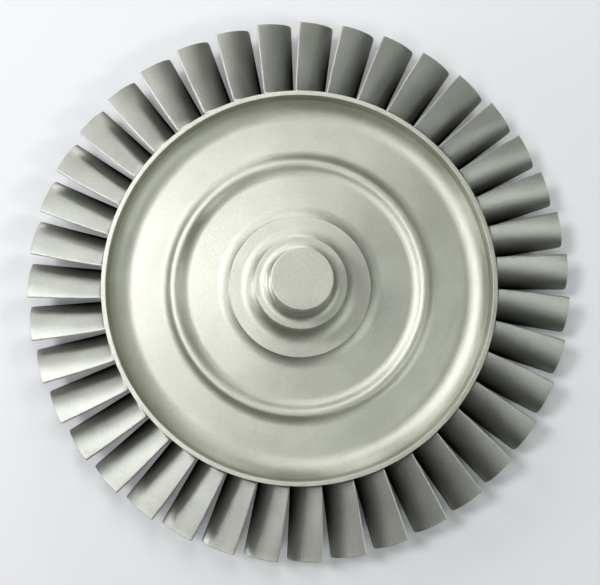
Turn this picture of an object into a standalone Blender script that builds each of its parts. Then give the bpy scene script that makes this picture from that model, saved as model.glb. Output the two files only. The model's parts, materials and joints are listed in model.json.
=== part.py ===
"""Axial bladed wheel, lying on its back: a stepped hub, a dished plate, a rim and a ring of blades.

Written in metres, with +Z along the wheel's axis. The floor is z = 0, under the rim's lower edge.
Sizes below are in millimetres, heights are counted from that floor unless a name says otherwise.
"""

import cmath
import math

import bmesh
import bpy
from mathutils import Matrix, Vector

MM = 0.001

# The disc. Corners run outwards as (radius, height, rounding): an arc takes that much off both
# sides of the corner, hollow or round as the corner goes.
TURN_STEPS = 78           # flats around a full turn, two to a blade
ARC_STEP = 18.0           # degrees to one flat of an arc, where the arc isn't tiny
ARC_FLAT = 0.45           # and no more flats than the rounding has lengths of this
STUB_TOP = 72.0
STUB = [(0.0, STUB_TOP, 0.0), (15.9, STUB_TOP, 0.6), (15.9, 51.0, 0.35), (16.9, 50.3, 0.6)]
STEP = [(18.1, 48.06, 0.0), (19.7, 46.4, 2.2), (24.6, 46.4, 0.5)]
PEDESTAL = [(24.9, 25.1, 0.3), (28.25, 21.1, 4.8), (39.3, 20.5, 0.3), (39.55, 19.9, 0.0), (42.5, 17.72, 3.6)]
BEAD = [(64.2, 15.82, 2.3), (70.19, 19.07, 2.7), (75.5, 15.63, 2.3)]
DISH = [(86.0, 15.04, 2.0), (100.97, 13.73, 7.6), (105.25, 20.58, 0.4)]
RIM_RADIUS = 108.0        # outer face that carries the blades
RIM_HEIGHT = 28.0
RIM_LIP = 2.35            # wall thickness of its two free lips
EDGE_BREAK = 0.3          # small bevel on the lips' edges
WEB_UNDER = 7.0           # the plate's flat back
BOSS = [(0.0, 0.0, 0.0), (39.3, 0.0, EDGE_BREAK), (39.6, WEB_UNDER, 5.6)]    # on the back
BACK_FILLET = 6.4
HUB_EDGE = 47.0           # the hub ends here and the plate begins
PLATE_EDGE = 91.8         # the plate ends here and the rim begins
SEAM = 0.3                # clear gap between two pieces

# The blades
BLADES = 39
TIP_RADIUS = 150.0
SPAN_STEPS = 3
TIP_CORNER = 3.2          # rounding of the leading corner at the tip
LEAD_ANGLE = (-0.203, -0.313)      # leading edge at foot and tip, degrees from the blade's mark
TRAIL_ANGLE = (-0.836, -2.19)      # trailing edge at foot and tip, degrees from the next mark
LEAD_DROP = (20.4, 16.9)           # leading edge below the rim's top, at foot and tip
TRAIL_DROP = (1.8, 7.4)            # trailing edge below the rim's top
BEND_ALONG = 0.20                  # where the middle line bends, as a share of its width
BEND_UP = (0.78, 0.74)             # and of its height, at foot and tip
THICKNESS = (2.6, 1.7)             # thickest part of the section at foot and tip
TRAIL_THICKNESS = 0.6
NOSE_SHARE = 0.16                  # the nose reaches full thickness here
TAPER_POWER = 1.5
STATIONS = (0.02, 0.07, 0.16, 0.30, 0.47, 0.64, 0.82, 1.0)

METAL_COLOUR = (0.50, 0.50, 0.47, 1.0)
METAL_ROUGHNESS = 0.5


def clear_scene():
    """Start from an empty scene."""
    for thing in list(bpy.data.objects):
        bpy.data.objects.remove(thing, do_unlink=True)


def metal(name, shade):
    """A plain metal material, a little lighter or darker from piece to piece."""
    made = bpy.data.materials.new(name)
    made.use_nodes = True
    surface = made.node_tree.nodes["Principled BSDF"]
    red, green, blue, alpha = METAL_COLOUR
    surface.inputs["Base Color"].default_value = (red * shade, green * shade, blue * shade, alpha)
    surface.inputs["Metallic"].default_value = 1.0
    surface.inputs["Roughness"].default_value = METAL_ROUGHNESS
    return made


def toward(start, end):
    """The direction from one point to another, as a complex number of length 1."""
    way = complex(*end[:2]) - complex(*start[:2])
    return way / abs(way)


def rounded(corners):
    """An outline's points as complex numbers, with an arc at each corner that has a rounding."""
    points = []
    for index, (radius, height, cut) in enumerate(corners):
        corner = complex(radius, height)
        if cut == 0:
            points.append(corner)
            continue
        came = toward(corners[index - 1], corners[index])
        goes = toward(corners[index], corners[index + 1])
        turn = cmath.phase(goes / came)
        start = corner - came * cut
        spoke = came * cut / math.tan(turn / 2) * -1j
        steps = max(1, min(round(abs(turn) / math.radians(ARC_STEP)), round(cut / ARC_FLAT)))
        for step in range(steps + 1):
            points.append(start - spoke + spoke * cmath.rect(1.0, turn * step / steps))
    return points


def front_outline():
    """The whole front, from the axis out to the rim's outer face."""
    lip = RIM_RADIUS - RIM_LIP
    edges = [(lip, RIM_HEIGHT, EDGE_BREAK), (RIM_RADIUS, RIM_HEIGHT, EDGE_BREAK), (RIM_RADIUS, 0.0, 0.0)]
    return rounded(STUB + STEP + PEDESTAL + BEAD + DISH + edges)[:-1]


def back_outline():
    """The whole back, from the axis out to the rim's outer face."""
    lip = RIM_RADIUS - RIM_LIP
    edges = [(lip, 0.0, EDGE_BREAK), (RIM_RADIUS, 0.0, EDGE_BREAK), (RIM_RADIUS, RIM_HEIGHT, 0.0)]
    return rounded(BOSS + [(lip, WEB_UNDER, BACK_FILLET)] + edges)[:-1]


def cut_out(points, inner, outer):
    """The stretch of an outline between two radii, with new end points where it is cut."""
    kept = []
    for start, end in zip(points[:-1], points[1:]):
        for radius in (inner, outer):
            if start.real < radius < end.real:
                kept.append(start + (end - start) * (radius - start.real) / (end.real - start.real))
        if inner <= end.real <= outer:
            kept.append(end)
    return kept


def ring_outline(inner, outer):
    """Front and back of the disc between two radii, as one closed outline."""
    front = cut_out(front_outline(), inner, outer)
    back = cut_out(back_outline(), inner, outer)
    return [(point.real, point.imag) for point in front + back[::-1]]


def turned(name, profile, shade):
    """A solid of revolution about the Z axis. An outline that starts off the axis is closed."""
    mesh = bmesh.new()
    points = [mesh.verts.new((radius * MM, 0.0, height * MM)) for radius, height in profile]
    edges = [mesh.edges.new(pair) for pair in zip(points[:-1], points[1:])]
    if profile[0][0] > 0:
        edges.append(mesh.edges.new((points[-1], points[0])))
    bmesh.ops.spin(
        mesh, geom=points + edges, cent=(0, 0, 0), axis=(0, 0, 1),
        angle=math.tau, steps=TURN_STEPS, use_merge=True,
    )
    bmesh.ops.remove_doubles(mesh, verts=mesh.verts, dist=0.00001)
    bmesh.ops.recalc_face_normals(mesh, faces=mesh.faces)
    return add_object(name, mesh, shade)


def mix(pair, share):
    """A value between the foot's and the tip's."""
    return pair[0] + (pair[1] - pair[0]) * share


def middle_line(width, rise, bend, place):
    """Point and direction on the section's middle line, which leaves the nose steeply."""
    corner = (BEND_ALONG * width, bend * rise)
    along = 2 * (1 - place) * place * corner[0] + place * place * width
    up = 2 * (1 - place) * place * corner[1] + place * place * rise
    run = 2 * (1 - place) * corner[0] + 2 * place * (width - corner[0])
    climb = 2 * (1 - place) * corner[1] + 2 * place * (rise - corner[1])
    length = math.hypot(run, climb)
    return along, up, run / length, climb / length


def half_thickness(place, thick):
    """Half of the section's thickness: an elliptic nose, then a long taper to the tail."""
    tail = TRAIL_THICKNESS / 2
    if place < NOSE_SHARE:
        return thick / 2 * math.sqrt(1 - (1 - place / NOSE_SHARE) ** 2)
    share = (place - NOSE_SHARE) / (1 - NOSE_SHARE)
    return tail + (thick / 2 - tail) * (1 - share ** TAPER_POWER)


def blade_section(share):
    """One section as (angle in radians, height, place along the chord), nose first, upper side out."""
    radius = mix((RIM_RADIUS + SEAM, TIP_RADIUS), share)
    lead = math.radians(mix(LEAD_ANGLE, share))
    trail = math.radians(360 / BLADES + mix(TRAIL_ANGLE, share))
    low = RIM_HEIGHT - mix(LEAD_DROP, share)
    rise = RIM_HEIGHT - mix(TRAIL_DROP, share) - low
    width = (trail - lead) * radius
    upper = []
    lower = []
    for place in STATIONS:
        along, up, run, climb = middle_line(width, rise, mix(BEND_UP, share), place)
        half = half_thickness(place, mix(THICKNESS, share))
        upper.append((lead + (along - climb * half) / radius, low + up + run * half, place))
        lower.append((lead + (along + climb * half) / radius, low + up - run * half, place))
    return [(lead, low, 0.0)] + upper + lower[::-1]


def tip_radius(place):
    """Outer end of the blade, rounded off at the leading corner."""
    width = math.radians(360 / BLADES) * TIP_RADIUS * place
    if width >= TIP_CORNER:
        return TIP_RADIUS
    return TIP_RADIUS - TIP_CORNER + math.sqrt(TIP_CORNER ** 2 - (TIP_CORNER - width) ** 2)


def blade_point(ring, index):
    """A point of the blade's skin: ring counts outwards, index goes round the section."""
    share = ring / SPAN_STEPS
    angle, height, place = blade_section(share)[index]
    foot = RIM_RADIUS + SEAM
    radius = foot + (tip_radius(place) - foot) * share
    return Vector((radius * math.cos(angle), radius * math.sin(angle), height)) * MM


def blade_mesh():
    """The skin of one blade, with its foot and tip closed in strips from side to side."""
    mesh = bmesh.new()
    count = 2 * len(STATIONS) + 1
    rings = []
    for ring in range(SPAN_STEPS + 1):
        rings.append([mesh.verts.new(blade_point(ring, index)) for index in range(count)])
    for inner, outer in zip(rings[:-1], rings[1:]):
        for index in range(count):
            after = (index + 1) % count
            mesh.faces.new((inner[index], inner[after], outer[after], outer[index]))
    for ring in (rings[0], rings[-1]):
        mesh.faces.new((ring[0], ring[1], ring[-1]))
        for index in range(1, len(STATIONS)):
            mesh.faces.new((ring[index], ring[index + 1], ring[-index - 1], ring[-index]))
    bmesh.ops.recalc_face_normals(mesh, faces=mesh.faces)
    bmesh.ops.triangulate(mesh, faces=mesh.faces)
    return mesh


def add_object(name, mesh, shade):
    """Put a finished mesh in the scene as a named, smooth-shaded object."""
    data = bpy.data.meshes.new(name)
    mesh.to_mesh(data)
    mesh.free()
    for face in data.polygons:
        face.use_smooth = True
    made = bpy.data.objects.new(name, data)
    data.materials.append(metal(name + "_metal", shade))
    bpy.context.collection.objects.link(made)
    return made


def add_disc():
    """The hub, the plate with its bead, and the rim."""
    turned("hub", [(0.0, STUB_TOP)] + ring_outline(0.0, HUB_EDGE) + [(0.0, 0.0)], 1.0)
    turned("plate", ring_outline(HUB_EDGE + SEAM, PLATE_EDGE), 0.97)
    turned("rim", ring_outline(PLATE_EDGE + SEAM, RIM_RADIUS), 1.03)


def add_blades():
    """All the blades, each turned on from the one before."""
    for number in range(BLADES):
        mesh = blade_mesh()
        turn = Matrix.Rotation(math.tau * number / BLADES, 4, "Z")
        bmesh.ops.transform(mesh, matrix=turn, verts=mesh.verts)
        add_object(f"blade_{number + 1:02d}", mesh, 0.94 + 0.06 * (number % 2))


clear_scene()
add_disc()
add_blades()
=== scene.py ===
# %% [markdown]
# # An axial bladed wheel, cast in one piece
#
# The real object is a metal wheel that has been cast, blasted clean and turned on a lathe in a few
# places. It lies on its back on a sheet of white paper: a stepped hub in the middle, a dished
# plate with a round bead, a rim with a thin bright lip, and 39 twisted blades around it.
#
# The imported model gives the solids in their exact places, so the lesson starts by loading it.
# Everything that is modelled below lies in the same frame: metres, with +Z up along the axis.

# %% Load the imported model
import json
import math

import bmesh
import bpy
from mathutils import Matrix, Vector

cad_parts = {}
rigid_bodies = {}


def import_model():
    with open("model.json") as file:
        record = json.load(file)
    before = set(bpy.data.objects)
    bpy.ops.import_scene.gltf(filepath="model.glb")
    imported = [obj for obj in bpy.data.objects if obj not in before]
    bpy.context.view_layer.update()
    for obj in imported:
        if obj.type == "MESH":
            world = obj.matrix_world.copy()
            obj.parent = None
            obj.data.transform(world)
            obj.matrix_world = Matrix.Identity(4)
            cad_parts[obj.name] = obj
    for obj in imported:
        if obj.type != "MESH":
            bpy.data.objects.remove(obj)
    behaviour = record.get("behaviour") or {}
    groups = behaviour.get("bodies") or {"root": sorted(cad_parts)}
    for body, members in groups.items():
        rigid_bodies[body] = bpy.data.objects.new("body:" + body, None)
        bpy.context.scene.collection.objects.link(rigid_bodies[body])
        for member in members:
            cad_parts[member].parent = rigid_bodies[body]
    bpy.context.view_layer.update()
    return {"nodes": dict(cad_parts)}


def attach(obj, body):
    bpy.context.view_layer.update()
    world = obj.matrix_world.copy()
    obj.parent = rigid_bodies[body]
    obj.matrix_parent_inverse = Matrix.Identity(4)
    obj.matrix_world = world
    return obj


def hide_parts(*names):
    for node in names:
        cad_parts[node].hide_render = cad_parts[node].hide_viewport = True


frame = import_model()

MM = 0.001
ALL_NODES = sorted(frame["nodes"])
BLADE_NODES = [name for name in ALL_NODES if name.startswith("blade_")]
BLADES = len(BLADE_NODES)

# %% [markdown]
# ## The camera
#
# The photograph was taken by hand from almost straight above. Where the blade tips, the rim's lip
# and the end of the stub lie in it tells how far away the camera was and which way it leaned: about
# half a metre away, and less than five degrees off the axis. A camera is placed by its own three
# axes here, because that says plainly which way is up in the picture.

# %% Place the camera
PHOTO_WIDTH = 600
PHOTO_CENTRE = (300.0, 292.5)          # pixels
WHEEL_CENTRE = (300.36, 285.25)        # where the wheel's axis meets the picture
FOCAL_PIXELS = 921.0
MM_PER_PIXEL = 0.5453                  # at the rim's lip
LEAN = 0.08                            # radians off the axis
LEAN_TOWARDS = math.radians(74.3)
SENSOR = 36.0

lean_side = Vector((math.cos(LEAN_TOWARDS), math.sin(LEAN_TOWARDS), 0))
back = Vector((0, 0, math.cos(LEAN))) - lean_side * math.sin(LEAN)
right = Vector((0, 1, 0)).cross(back).normalized()
up = back.cross(right)

camera = bpy.data.objects.new("camera", bpy.data.cameras.new("camera"))
bpy.context.collection.objects.link(camera)
placed = Matrix((right, up, back)).transposed().to_4x4()
placed.translation = Vector((0, 0, 28.0 * MM)) + back * FOCAL_PIXELS * MM_PER_PIXEL * MM
camera.matrix_world = placed
camera.data.sensor_width = SENSOR
camera.data.lens = SENSOR * FOCAL_PIXELS / PHOTO_WIDTH
camera.data.shift_x = (PHOTO_CENTRE[0] - WHEEL_CENTRE[0]) / PHOTO_WIDTH
camera.data.shift_y = (WHEEL_CENTRE[1] - PHOTO_CENTRE[1]) / PHOTO_WIDTH
camera.data.clip_start = 0.01
bpy.context.scene.camera = camera
print("camera at", [round(value, 3) for value in placed.translation])

# %% [markdown]
# ## A bench for shader nodes
#
# A finish is made of many small sums. Written as nodes one by one they are long and hard to read,
# so a socket is wrapped in a small class that knows how to add, subtract and multiply. One function
# makes every node from its type, its settings and what goes into its sockets.

# %% Wrap a shader socket
class Signal:
    """A number or colour that changes over a surface: sums on it add Math nodes."""

    def __init__(self, tree, socket):
        self.tree = tree
        self.socket = socket

    def math(self, operation, first, second):
        values = {0: first, 1: second}
        return add_node(self.tree, "ShaderNodeMath", {"operation": operation}, values)

    def __add__(self, other):
        return self.math("ADD", self, other)

    def __radd__(self, other):
        return self.math("ADD", other, self)

    def __sub__(self, other):
        return self.math("SUBTRACT", self, other)

    def __rsub__(self, other):
        return self.math("SUBTRACT", other, self)

    def __mul__(self, other):
        return self.math("MULTIPLY", self, other)

    def __rmul__(self, other):
        return self.math("MULTIPLY", other, self)

    def between(self, low, high):
        """0 below low, 1 above high, and a smooth step from one to the other."""
        ends = {"Value": self, "From Min": low, "From Max": high}
        return add_node(self.tree, "ShaderNodeMapRange", {"interpolation_type": "SMOOTHSTEP"}, ends)

    def beside(self, output):
        """Another output of the node that this one comes from."""
        return Signal(self.tree, self.socket.node.outputs[output])


def feed(tree, socket, value):
    """Link a signal into a socket, or set its plain value."""
    if isinstance(value, Signal):
        tree.links.new(value.socket, socket)
    else:
        socket.default_value = value


def add_node(tree, kind, settings=None, inputs=None, output=0):
    """Any node: its settings first, then what goes into its sockets. Gives one output."""
    made = tree.nodes.new(kind)
    for key, value in (settings or {}).items():
        setattr(made, key, value)
    for key, value in (inputs or {}).items():
        feed(tree, made.inputs[key], value)
    return Signal(tree, made.outputs[output])


print("sockets can be added, subtracted and multiplied")

# %% [markdown]
# A finish needs few things again and again: where a point lies, soft noise of a real size in
# millimetres, and a colour between two others. They become methods of a small class that holds the
# material and its Principled shader.

# %% Hold a material and its shader
class Finish:
    """A material with its Principled shader at hand."""

    def __init__(self, name):
        self.material = bpy.data.materials.new(name)
        self.material.use_nodes = True
        self.tree = self.material.node_tree
        self.surface = self.tree.nodes["Principled BSDF"]

    def node(self, kind, settings=None, inputs=None, output=0):
        return add_node(self.tree, kind, settings, inputs, output)

    def set(self, **sockets):
        """Feed the shader's own sockets, with _ for each space in a socket's name."""
        for key, value in sockets.items():
            feed(self.tree, self.surface.inputs[key.replace("_", " ")], value)

    def place(self):
        """Where the point lies on the object, in metres."""
        return self.node("ShaderNodeTexCoord", output="Object")

    def away_and_height(self):
        """How far the point lies from the wheel's axis, and how high."""
        along_x = self.node("ShaderNodeSeparateXYZ", inputs={0: self.place()})
        flat = self.node("ShaderNodeCombineXYZ", inputs={0: along_x, 1: along_x.beside(1)})
        away = self.node("ShaderNodeVectorMath", {"operation": "LENGTH"}, {0: flat}, "Value")
        return away, along_x.beside(2)

    def noise(self, size, detail, rough=0.5):
        """Soft spots about one size across, given in millimetres."""
        scale = {"Scale": 1.0 / (size * MM), "Detail": detail, "Roughness": rough}
        return self.node("ShaderNodeTexNoise", inputs={"Vector": self.place(), **scale})

    def blend(self, share, low, high):
        """A colour between two others. The Mix node's colour sockets are the seventh and eighth."""
        return self.node("ShaderNodeMix", {"data_type": "RGBA"}, {0: share, 6: low, 7: high}, 2)


print("bench ready")

# %% [markdown]
# ## The wheel's body as a half outline
#
# Hub, plate and rim are one casting, and all of it is round, so it can be made by turning one
# outline about the axis. The outline is drawn as corners only, with how much each corner is
# rounded. A vertex bevel turns each corner into a true arc, hollow or round alike.

# %% Draw and round an outline
def outline(corners):
    """A chain of edges from the corner points (radius, height, rounding), in millimetres."""
    wire = bmesh.new()
    points = [wire.verts.new((radius * MM, 0, height * MM)) for radius, height, rounding in corners]
    for start, end in zip(points[:-1], points[1:]):
        wire.edges.new((start, end))
    for point, (radius, height, rounding) in zip(points, corners):
        if rounding:
            bmesh.ops.bevel(
                wire, geom=[point], offset=rounding * MM, affect="VERTICES",
                segments=4 + int(1.2 * rounding), profile=0.5, material=-1,
            )
    return wire


def hold_flats(wire, margin=0.35, shortest=1.6):
    """Split the long edges near both ends, so that flats stay flat right up to their arcs."""
    for edge in [edge for edge in wire.edges if edge.calc_length() > shortest * MM]:
        start, end = edge.verts
        share = margin * MM / edge.calc_length()
        middle = bmesh.utils.edge_split(edge, start, share)[1]
        long = max(start.link_edges[:] + middle.link_edges[:], key=lambda one: one.calc_length())
        near = middle if middle in long.verts else start
        bmesh.utils.edge_split(long, long.other_vert(near), share)


print("outlines can be drawn")

# %% [markdown]
# The corners run from the end of the stub outwards over the front, round the rim and back inwards
# underneath. Each is a radius, a height and a rounding, all in millimetres. The main ones are the
# solids' own, so that the body fills the same space.

# %% Give the corners
RIM_RADIUS = 108.3                    # the solids leave a gap here, the casting doesn't
RIM_HEIGHT = 28.0
LIP = 105.75
WEB_UNDER = 7.0

STUB = [(0, 72.0, 0), (15.9, 72.0, 0.6), (15.9, 51.0, 0.35), (16.9, 50.3, 0.6)]
STEP = [(18.1, 48.06, 0), (19.7, 46.4, 2.2), (24.6, 46.4, 0.5)]
PEDESTAL = [
    (24.9, 25.1, 0.3), (28.25, 21.1, 4.8), (39.3, 20.5, 0.3), (39.55, 19.9, 0), (42.5, 17.72, 3.6),
]
BEAD = [(64.2, 15.82, 2.3), (70.19, 19.07, 2.7), (75.5, 15.63, 2.3)]
DISH = [(86.0, 15.04, 2.0), (100.97, 13.73, 7.6), (105.25, 20.58, 0.4)]
LIPS = [
    (LIP, RIM_HEIGHT, 0.3), (RIM_RADIUS, RIM_HEIGHT, 0.16), (RIM_RADIUS, 0, 0.3), (LIP, 0, 0.3),
    (LIP, WEB_UNDER, 6.4),
]
BOSS = [(39.6, WEB_UNDER, 5.6), (39.3, 0, 0.3), (0, 0, 0)]

half = outline(STUB + STEP + PEDESTAL + BEAD + DISH + LIPS + BOSS)
hold_flats(half)
print(f"outline: {len(half.verts)} points")

# %% [markdown]
# ## Turn the outline into the body
#
# Spin carries the outline once around the axis. Its ends lie on the axis, so with use_merge the
# last step joins the first and the poles close. Eight steps to a blade keep the rim's lip round
# even close up. After a spin the normals are worked out afresh, because it can turn them inwards.

# %% Turn the body
TURN_STEPS = 8 * BLADES


def finished(name, mesh, finish, stands_for):
    """Store a mesh as a smooth piece that rides on the wheel and stands for some solids."""
    bmesh.ops.recalc_face_normals(mesh, faces=mesh.faces)
    data = bpy.data.meshes.new(name)
    mesh.to_mesh(data)
    mesh.free()
    piece = bpy.data.objects.new(name, data)
    bpy.context.collection.objects.link(piece)
    data.materials.append(finish)
    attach(piece, "root")
    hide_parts(*stands_for)


bmesh.ops.spin(
    half, geom=half.verts[:] + half.edges[:], cent=(0, 0, 0), axis=(0, 0, 1),
    angle=math.tau, steps=TURN_STEPS, use_merge=True,
)
bmesh.ops.remove_doubles(half, verts=half.verts, dist=0.00001)
for face in half.faces:
    face.smooth = True
print(f"body: {len(half.faces)} faces")

# %% [markdown]
# ## The cast skin
#
# Blasting leaves a fine, even, matt skin on the metal: grains a few tenths of a millimetre across,
# which break up every reflection. Over that lie small specks, and soft clouds where the skin took
# the blasting a little more or less. The grain goes into the bump, the clouds into colour and
# roughness, and the specks into all three.
#
# Deep between the blades, close to the rim, their shade is painted into the colour: the skin is
# made almost black there. A point's height and its distance from the axis say how deep it lies.

# %% Make the cast skin
CLOUD_SIZE = 26.0                     # millimetres, like the sizes below it, down to the painted shade's radii
SPECK_SIZE = 1.1
GRAIN_SIZE = 0.42
BUMP_DEPTH = 0.10
PAINTED_SHADE_HEIGHT = (12.0, 21.5)            # painted shade fully dark below, none above
PAINTED_SHADE_RADIUS = (118.0, 168.0)          # painted shade fully dark inside, none outside
DEEP_SHEEN = (0.2, 0.2, 0.19, 1)


def painted_shade_between_blades(finish):
    """Painted shade between the blades: 1 low down by the rim, fading to 0 upwards and outwards."""
    away, height = finish.away_and_height()
    low = 1 - height.between(PAINTED_SHADE_HEIGHT[0] * MM, PAINTED_SHADE_HEIGHT[1] * MM)
    near = 1 - away.between(PAINTED_SHADE_RADIUS[0] * MM, PAINTED_SHADE_RADIUS[1] * MM)
    return low * near


def cast_skin(name, dark, light, roughness, painted_shade=None):
    """Blasted metal: warm grey, matt, finely grained. Given a shade colour, it is painted darker
    deep between the blades.
    """
    finish = Finish(name)
    clouds = finish.noise(CLOUD_SIZE, 3.0)
    specks = finish.noise(SPECK_SIZE, 3.0, 0.65)
    grains = finish.noise(GRAIN_SIZE, 2.0, 0.6)
    tone = clouds * 0.55 + specks * 0.45
    skin = finish.blend(tone.between(0.30, 0.70), dark, light)
    # painted shade: low down between the blades, where they shade each other, the colour turns
    # almost black
    if painted_shade:
        skin = finish.blend(painted_shade_between_blades(finish), skin, painted_shade)
        finish.set(Specular_Tint=DEEP_SHEEN)
    relief = {"Strength": 1.0, "Distance": BUMP_DEPTH * MM, "Height": grains + specks * 0.8}
    finish.set(
        Base_Color=skin,
        Metallic=1.0,
        Roughness=roughness + (specks - 0.5) * 0.12 + (clouds - 0.5) * 0.08,
        Normal=finish.node("ShaderNodeBump", inputs=relief),
    )
    return finish.material


disc_skin = cast_skin(
    "cast_disc_skin", dark=(0.53, 0.54, 0.475, 1), light=(0.635, 0.648, 0.57, 1), roughness=0.46,
)
finished("wheel_body", half, disc_skin, ("hub", "plate", "rim"))
print("body stands for hub, plate and rim")

# %% [markdown]
# ## The blades
#
# Each blade is a thin twisted wing. Its deep edge, low down beside the next blade, is thick and
# rounded; its other edge is thin, with a narrow bevel, and reaches almost up to the rim's lip. The
# blade is built from sections at growing radii. A section's sizes at the foot and at the tip are
# given in millimetres, and every section between them takes its share of both.

# %% Give the blade's sizes
TIP_RADIUS = 149.98
SOLID_FOOT = 108.3                    # the solids' sections count from here to the tip
LEAD_ANGLE = (-0.203, -0.313)         # degrees from the blade's mark, at foot and tip
TRAIL_ANGLE = (-0.836, -2.19)         # degrees from the next mark
LEAD_DROP = (20.4, 16.9)              # below the rim's lip
TRAIL_DROP = (1.8, 7.4)
BEND_ALONG = 0.20
BEND_UP = (0.78, 0.74)
THICKNESS = (2.6, 1.7)
TRAIL_THICKNESS = 0.6
NOSE_SHARE = 0.16
TAPER_POWER = 1.5
BEVEL_SHARE = 0.018                   # a narrow bevel along the thin edge's upper corner
TIP_CORNER = 3.2
STATIONS = (
    0.003, 0.012, 0.028, 0.05, 0.08, 0.12, 0.17, 0.23, 0.30, 0.38,
    0.47, 0.56, 0.65, 0.74, 0.83, 0.91, 0.96, 0.981, 0.983, 0.999,
)
print(f"each blade is {TIP_RADIUS - SOLID_FOOT:.1f} mm long")

# %% [markdown]
# The middle line of a section is one bent curve from the deep edge to the thin one. It leaves the
# deep edge steeply and ends nearly level. The thickness is laid off square to it on both sides, and
# the stations say at which places along it: close together at the edges, where the shape turns
# quickly.

# %% Bend and thicken the middle line
def mix(pair, share):
    """A value between the foot's and the tip's."""
    return pair[0] + (pair[1] - pair[0]) * share


def half_thickness(place, thick):
    """Half the section's thickness: a round nose and a long taper to the thin edge."""
    tail = TRAIL_THICKNESS / 2
    if place < NOSE_SHARE:
        return thick / 2 * math.sqrt(1 - (1 - place / NOSE_SHARE) ** 2)
    share = (place - NOSE_SHARE) / (1 - NOSE_SHARE)
    return tail + (thick / 2 - tail) * (1 - share ** TAPER_POWER)


def bent(width, rise, bend, place):
    """Point and direction on the middle line, which leaves the nose steeply."""
    corner = Vector((BEND_ALONG * width, bend * rise))
    end = Vector((width, rise))
    point = corner * (2 * (1 - place) * place) + end * place ** 2
    way = corner * (1 - place) + (end - corner) * place
    return point, way.normalized()


print(f"at the middle of the foot a blade is {2 * half_thickness(0.5, THICKNESS[0]):.2f} mm thick")

# %% [markdown]
# A section is a closed ring of points: the nose, the upper side, the tail and the lower side. Every
# ring has the same points in the same order, so two rings can be joined. Each point keeps its place
# along the section, because the rounded corner of the tip needs it.

# %% Work out one section
def section(radius):
    """The blade's ring of points at one radius: (way round, height, place along the chord)."""
    share = (radius - SOLID_FOOT) / (TIP_RADIUS - SOLID_FOOT)
    lead = math.radians(mix(LEAD_ANGLE, share)) * radius
    trail = math.radians(360 / BLADES + mix(TRAIL_ANGLE, share)) * radius
    low = RIM_HEIGHT - mix(LEAD_DROP, share)
    rise = RIM_HEIGHT - mix(TRAIL_DROP, share) - low
    start = Vector((lead, low))
    upper = []
    lower = []
    for place in STATIONS:
        point, way = bent(trail - lead, rise, mix(BEND_UP, share), place)
        side = Vector((-way.y, way.x)) * half_thickness(place, mix(THICKNESS, share))
        bevel = min(1.0, (1 - place) / BEVEL_SHARE)
        upper.append((start + point + side * bevel, place))
        lower.append((start + point - side, place))
    nose = [(start, 0.0)]
    tail = [(start + Vector((trail - lead, rise)), 1.0)]
    return nose + upper + tail + lower[::-1]


def swollen(ring, amount):
    """The ring moved outwards all round, square to its own line."""
    moved = []
    for index, (point, place) in enumerate(ring):
        before = ring[index - 1][0]
        after = ring[(index + 1) % len(ring)][0]
        way = (after - before).normalized()
        moved.append((point + Vector((-way.y, way.x)) * amount, place))
    return moved


print(f"a section has {len(section(120.0))} points")

# %% [markdown]
# ## From sections to a blade
#
# A casting has no sharp inner corners: where a blade grows out of the rim there is a small hollow
# curve all round its foot. It comes from a few rings close to the rim, each swollen a little more
# than the one further out. The blade's outer end follows a circle about the axis, but for its
# leading corner, which is rounded off, so the points there are drawn in, ring by ring.

# %% Lay rings along the blade
FOOT_CURVE = 1.5                      # radius of the hollow curve at the foot
FOOT_RINGS = 6
FOOT_INSIDE = 0.3                     # how far the foot reaches into the rim
RING_RADII = (113, 119, 125, 131, 137, 143, 147)
TIP_BREAK = 0.1


def tip_end(place):
    """Outer end of the blade, rounded off at the leading corner."""
    width = math.radians(360 / BLADES) * TIP_RADIUS * place
    if width >= TIP_CORNER:
        return TIP_RADIUS
    return TIP_RADIUS - TIP_CORNER + math.sqrt(TIP_CORNER ** 2 - (TIP_CORNER - width) ** 2)


def add_ring(mesh, radius, swell, pull=0.0):
    """One ring of vertices and edges, and the edges as a list."""
    share = (radius - RIM_RADIUS) / (TIP_RADIUS - RIM_RADIUS)
    verts = []
    for point, place in swollen(section(radius), swell):
        out = RIM_RADIUS + (tip_end(place) - RIM_RADIUS) * share - pull
        turn = point.x / radius
        corner = Vector((out * math.cos(turn), out * math.sin(turn), point.y))
        verts.append(mesh.verts.new(corner * MM))
    return [mesh.edges.new(pair) for pair in zip(verts, verts[1:] + verts[:1])]


print(f"the leading corner of the tip is cut back by {TIP_RADIUS - tip_end(0):.1f} mm")

# %% [markdown]
# Bridge loops lays the skin from ring to ring. At the tip the last ring is made smaller by a hair,
# which breaks the edge, and the two rings just before it keep the shading even right up to there.
# Filling the first and the last ring closes the blade.

# %% Build one blade
def blade():
    """One closed blade with its foot a little inside the rim."""
    mesh = bmesh.new()
    rings = [add_ring(mesh, RIM_RADIUS - FOOT_INSIDE, FOOT_CURVE)]
    for step in range(FOOT_RINGS):
        turn = math.radians(90 * step / (FOOT_RINGS - 1))
        away = FOOT_CURVE * (1 - math.cos(turn))
        swell = FOOT_CURVE * (1 - math.sin(turn))
        rings.append(add_ring(mesh, RIM_RADIUS + away, swell))
    for radius in RING_RADII:
        rings.append(add_ring(mesh, radius, 0.0))
    for pull in (3 * TIP_BREAK, TIP_BREAK):
        rings.append(add_ring(mesh, TIP_RADIUS, 0.0, pull=pull))
    rings.append(add_ring(mesh, TIP_RADIUS, -TIP_BREAK * 0.7))
    for inner, outer in zip(rings[:-1], rings[1:]):
        bmesh.ops.bridge_loops(mesh, edges=inner + outer)
    for face in mesh.faces:
        face.smooth = True
    for ring in (rings[0], rings[-1]):
        ends = bmesh.ops.holes_fill(mesh, edges=ring, sides=0)["faces"]
        bmesh.ops.triangulate(mesh, faces=ends)
    return mesh


pattern = blade()
print(f"one blade: {len(pattern.faces)} faces")
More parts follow.
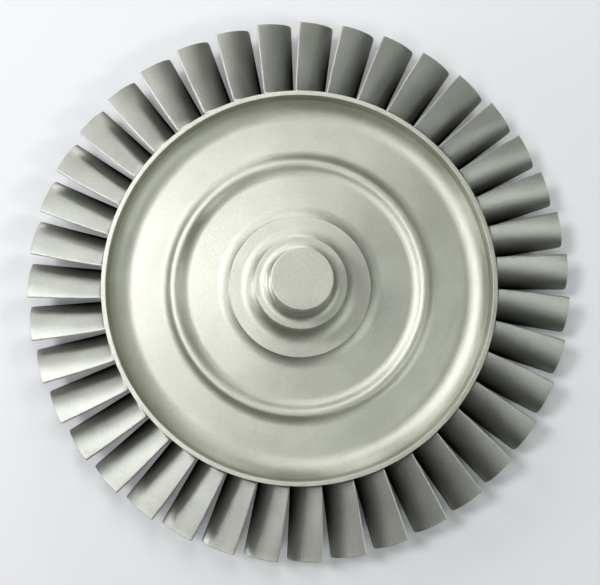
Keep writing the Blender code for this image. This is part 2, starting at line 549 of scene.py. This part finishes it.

# %% [markdown]
# All blades are alike, so one is built and copied round the axis. The copies are turned in their
# meshes and not as objects, which keeps every object at the origin and lets the skin's pattern run
# on through the whole wheel without repeating.

# %% Copy the blade round
# The last colour, almost black, is painted shade deep between the blades, where they shade each
# other.
blade_skin = cast_skin(
    "cast_blade_skin_and_painted_shade", dark=(0.42, 0.43, 0.387, 1), light=(0.52, 0.533, 0.48, 1), roughness=0.42,
    painted_shade=(0.03, 0.03, 0.028, 1),
)
for number, node in enumerate(BLADE_NODES):
    mesh = pattern.copy()
    turn = Matrix.Rotation(math.tau * number / BLADES, 4, "Z")
    bmesh.ops.transform(mesh, matrix=turn, verts=mesh.verts)
    finished("airfoil_" + node[-2:], mesh, blade_skin, (node,))
pattern.free()
print(f"{BLADES} blades stand for theirs")

# %% [markdown]
# ## Paper, lights and sky
#
# The wheel lies on white paper. A flat round sheet is enough for it, with a faint pattern of fibres
# in its colour. It ends about a metre away, because the lamps light it no further.

# %% Lay the paper
PAPER_RADIUS = 1.05                   # metres


def sheet_of_paper():
    """A flat round sheet, no wider than the lamps light well."""
    mesh = bmesh.new()
    bmesh.ops.create_circle(mesh, cap_ends=True, segments=128, radius=PAPER_RADIUS)
    data = bpy.data.meshes.new("paper")
    mesh.to_mesh(data)
    mesh.free()
    paper = Finish("white_paper")
    fibres = paper.noise(0.9, 3.0)
    paper.set(
        Base_Color=paper.blend(fibres, (0.835, 0.84, 0.85, 1), (0.875, 0.88, 0.89, 1)),
        Roughness=0.7,
    )
    data.materials.append(paper.material)
    sheet = bpy.data.objects.new("paper", data)
    bpy.context.collection.objects.link(sheet)


sheet_of_paper()
print(f"paper laid, {2 * PAPER_RADIUS:.1f} m across")

# %% [markdown]
# Daylight comes from a window on the left. Soft round lamps stand in for it and for the pale walls
# around, all at one distance and each at its own height and side. A rough metal shows each of them
# as a broad sheen on whatever leans half way towards it, so the powers were found by trial, ring by
# ring and blade by blade. Weaker, cooler ones on the right brighten the blades there.

# %% Set the lights
LAMP_DISTANCE = 1.3                   # metres
LAMP_SIZE = 0.45
WHITE = (1.0, 1.0, 1.0)
COOL = (0.96, 1.0, 1.0)
DAYLIGHT = (0.985, 0.99, 1.02)


def lamp(name, azimuth, elevation, power, color=WHITE, size=LAMP_SIZE):
    """A round soft lamp that faces the wheel; azimuth counts from +X towards +Y, in degrees."""
    light = bpy.data.lights.new(name, "AREA")
    light.shape = "DISK"
    light.size = size
    light.energy = power
    light.color = color
    holder = bpy.data.objects.new(name, light)
    bpy.context.collection.objects.link(holder)
    turn = Matrix.Rotation(math.radians(azimuth), 4, "Z")
    tip = Matrix.Rotation(math.radians(90 - elevation), 4, "Y")
    holder.matrix_world = turn @ tip @ Matrix.Translation((0, 0, LAMP_DISTANCE))
    holder.visible_camera = False


lamp("window", 160, 57, 4.95, DAYLIGHT, size=0.35)
lamp("window_low", 180, 10, 4.3, DAYLIGHT)
lamp("window_far", 120, 27, 2.35, DAYLIGHT)
lamp("wall_left", 215, 60, 1.6)
lamp("wall_back", 90, 60, 2.05)
lamp("wall_back_low", 90, 10, 4.0)
lamp("ceiling", 240, 78, 0.85, size=0.3)
lamp("room_right", 30, 43, 0.9, COOL)
lamp("room_front", 302, 47, 0.75, COOL, size=0.25)
lamp("lamp_right", 335, 43, 2.0, COOL, size=0.25)
print("lamps set")

# %% [markdown]
# A dim sky fills what the lamps leave. Seen directly it is pale, so that other views get a light
# backdrop. The picture is shown with a little more contrast than usual, as such photographs are.

# %% Make the sky and set the contrast
SKY = 0.04
BACKDROP = 0.9


def pale_room():
    """A dim sky for the light and a pale one for whoever looks past the paper."""
    sky = bpy.data.worlds.new("sky")
    sky.use_nodes = True
    tree = sky.node_tree
    seen = add_node(tree, "ShaderNodeLightPath", output="Is Camera Ray")
    strength = add_node(tree, "ShaderNodeMix", inputs={0: seen, 2: SKY, 3: BACKDROP})
    background = tree.nodes["Background"]
    feed(tree, background.inputs["Color"], (1, 1, 1, 1))
    feed(tree, background.inputs["Strength"], strength)
    bpy.context.scene.world = sky


pale_room()
bpy.context.scene.view_settings.view_transform = "Standard"
bpy.context.scene.view_settings.look = "Medium High Contrast"
print("room set")
